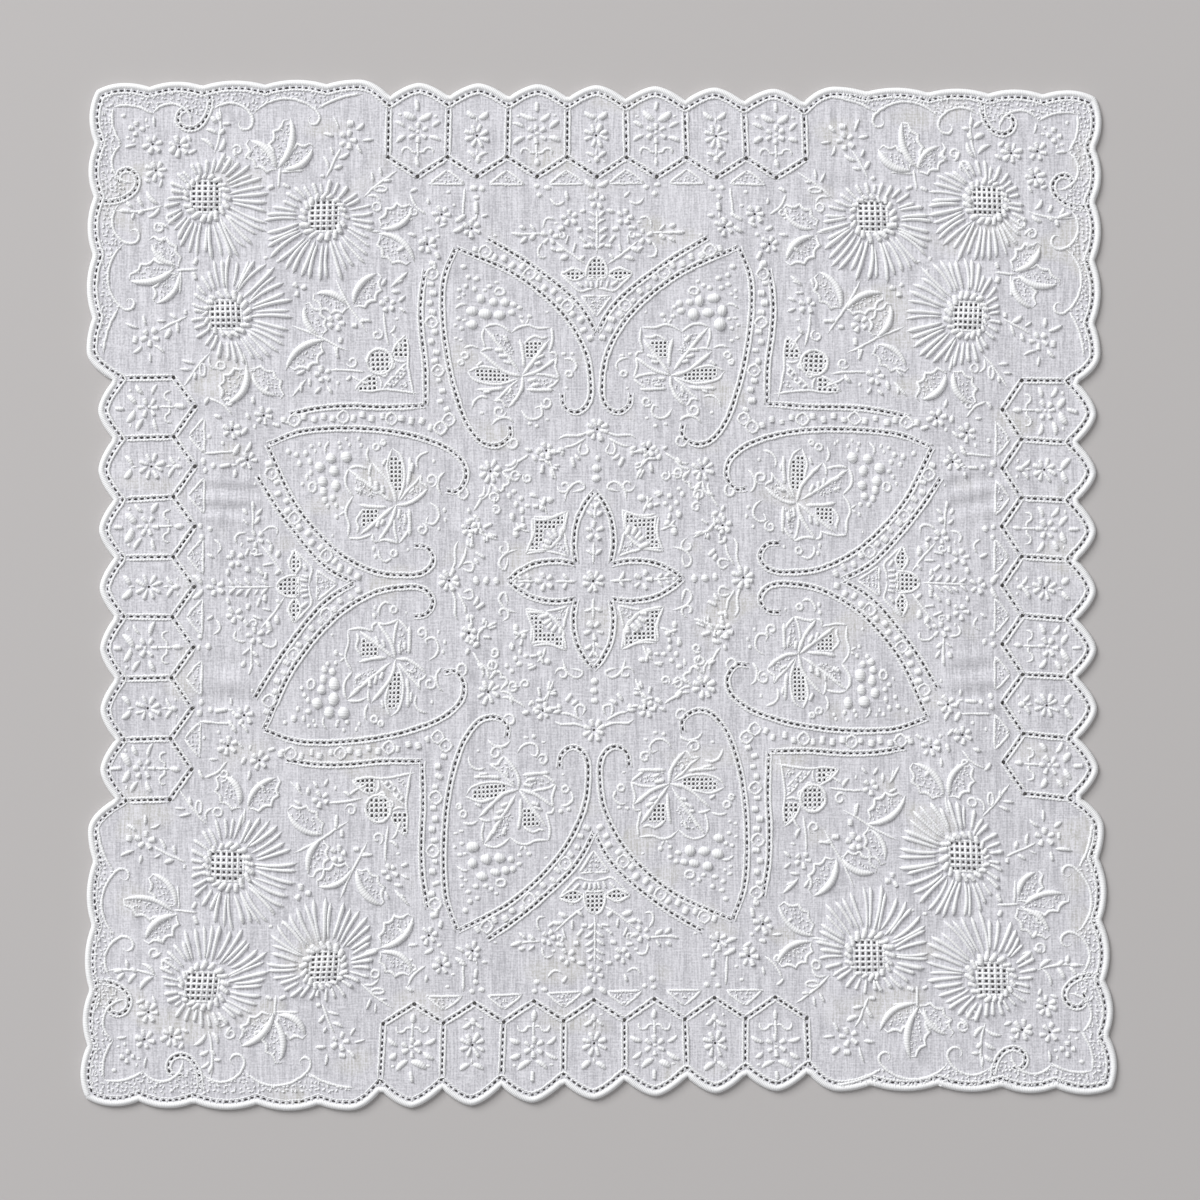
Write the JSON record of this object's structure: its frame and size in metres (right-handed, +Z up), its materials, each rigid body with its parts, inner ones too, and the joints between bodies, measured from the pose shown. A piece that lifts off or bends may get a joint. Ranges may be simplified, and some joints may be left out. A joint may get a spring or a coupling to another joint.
{
  "type": "embroidered handkerchief",
  "caption": "Square handkerchief of fine white lawn laid out flat, with a scalloped corded edge, openwork lines and raised white flower embroidery.",
  "frame": {"origin": "the middle of the cloth's extents, on the surface that it lies on", "axes": "+Z up, out of the embroidered face; +Y towards the top side of the cloth as it lies; +X to its right"},
  "size_m": [0.311, 0.3094, 0.002],
  "materials": {
    "cloth": "fine cotton lawn, matt and slightly sheer, with white cotton embroidery"
  },
  "bodies": {
    "root": {"cloth": "cloth"}
  },
  "joints": []
}
